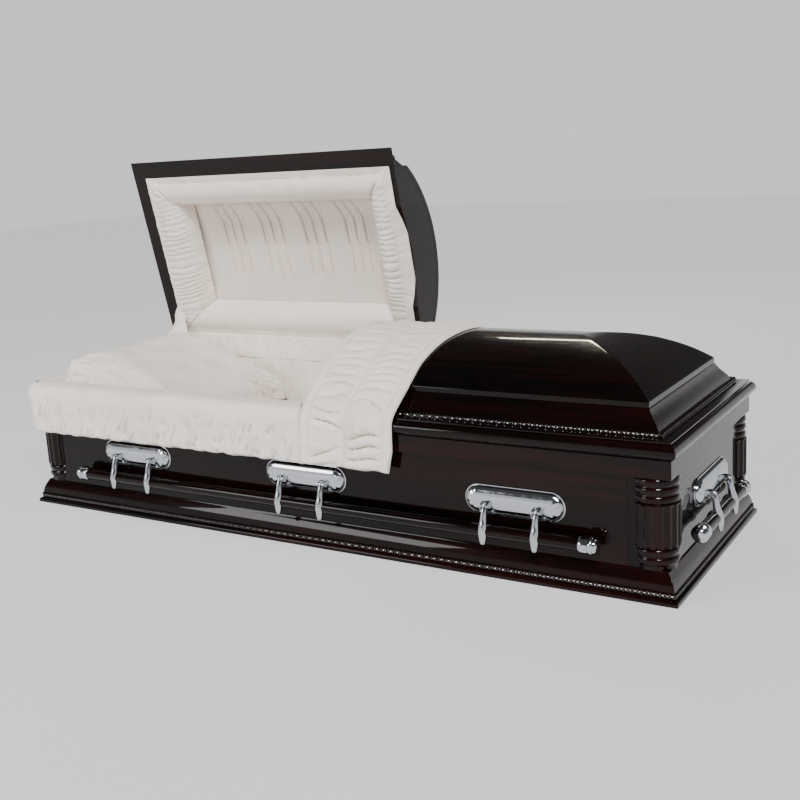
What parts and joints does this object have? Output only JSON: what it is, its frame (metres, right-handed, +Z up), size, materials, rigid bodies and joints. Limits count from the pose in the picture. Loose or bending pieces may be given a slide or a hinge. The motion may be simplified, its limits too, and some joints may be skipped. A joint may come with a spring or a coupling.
{
  "type": "funeral casket",
  "caption": "Half-couch wooden casket with hipped lids, fluted corner columns, swing-bar handles and a padded cloth interior.",
  "frame": {"origin": "centre of the underside", "axes": "+Z up, +X toward the foot end, -Y toward the front"},
  "size_m": [2.1834, 0.8579, 1.0769],
  "materials": {
    "wood": "high gloss dark stain",
    "chrome": "polished",
    "cloth": "cream crepe, padded"
  },
  "bodies": {
    "casket": {"bottom_board": "wood", "base_moulding": "wood", "front_panel": "wood", "back_panel": "wood", "head_end_panel": "wood", "foot_end_panel": "wood", "front_foot_column": "wood", "back_foot_column": "wood", "front_head_column": "wood", "back_head_column": "wood", "top_moulding": "wood", "head_hinge_body_leaf": "chrome", "foot_hinge_body_leaf": "chrome", "body_lining": "cloth", "mattress": "cloth", "pillow": "cloth", "extendover": "cloth", "front_plate_1": "chrome", "front_plate_2": "chrome", "front_plate_3": "chrome", "back_plate_1": "chrome", "back_plate_2": "chrome", "back_plate_3": "chrome", "foot_end_plate": "chrome", "head_end_plate": "chrome"},
    "head_lid": {"head_lid_rim": "wood", "head_lid_crown": "wood", "head_lid_header": "wood", "head_lid_lining": "cloth", "head_lid_roll": "cloth", "head_lid_hinge_leaf": "chrome", "catch_plate": "chrome"},
    "foot_lid": {"foot_lid_rim": "wood", "foot_lid_crown": "wood", "foot_lid_header": "wood", "foot_lid_lining": "cloth", "foot_lid_roll": "cloth", "foot_lid_hinge_leaf": "chrome", "throw": "cloth"},
    "front_handle": {"front_arm_1": "chrome", "front_arm_2": "chrome", "front_arm_3": "chrome", "front_arm_4": "chrome", "front_arm_5": "chrome", "front_arm_6": "chrome", "front_bar": "wood"},
    "back_handle": {"back_arm_1": "chrome", "back_arm_2": "chrome", "back_arm_3": "chrome", "back_arm_4": "chrome", "back_arm_5": "chrome", "back_arm_6": "chrome", "back_bar": "wood"},
    "foot_end_handle": {"foot_end_arm_1": "chrome", "foot_end_arm_2": "chrome", "foot_end_bar": "wood"},
    "head_end_handle": {"head_end_arm_1": "chrome", "head_end_arm_2": "chrome", "head_end_bar": "wood"}
  },
  "joints": [
    {"name": "head_lid_hinge", "type": "hinge", "parent": "casket", "child": "head_lid", "pos_m": [-0.49, 0.356, 0.3875], "axis": [-1, 0, 0], "range_deg": [-77.5, 0], "deforming": ["pillow", "extendover"]},
    {"name": "foot_lid_hinge", "type": "hinge", "parent": "casket", "child": "foot_lid", "pos_m": [0.54, 0.356, 0.3875], "axis": [-1, 0, 0], "range_deg": [0, 77.5]},
    {"name": "front_handle_swing", "type": "hinge", "parent": "casket", "child": "front_handle", "pos_m": [0, -0.365, 0.188], "axis": [-1, 0, 0], "range_deg": [0, 80]},
    {"name": "back_handle_swing", "type": "hinge", "parent": "casket", "child": "back_handle", "pos_m": [0, 0.365, 0.188], "axis": [1, 0, 0], "range_deg": [0, 80]},
    {"name": "foot_end_handle_swing", "type": "hinge", "parent": "casket", "child": "foot_end_handle", "pos_m": [1.062, 0, 0.188], "axis": [0, -1, 0], "range_deg": [0, 80]},
    {"name": "head_end_handle_swing", "type": "hinge", "parent": "casket", "child": "head_end_handle", "pos_m": [-1.062, 0, 0.188], "axis": [0, 1, 0], "range_deg": [0, 80]}
  ]
}
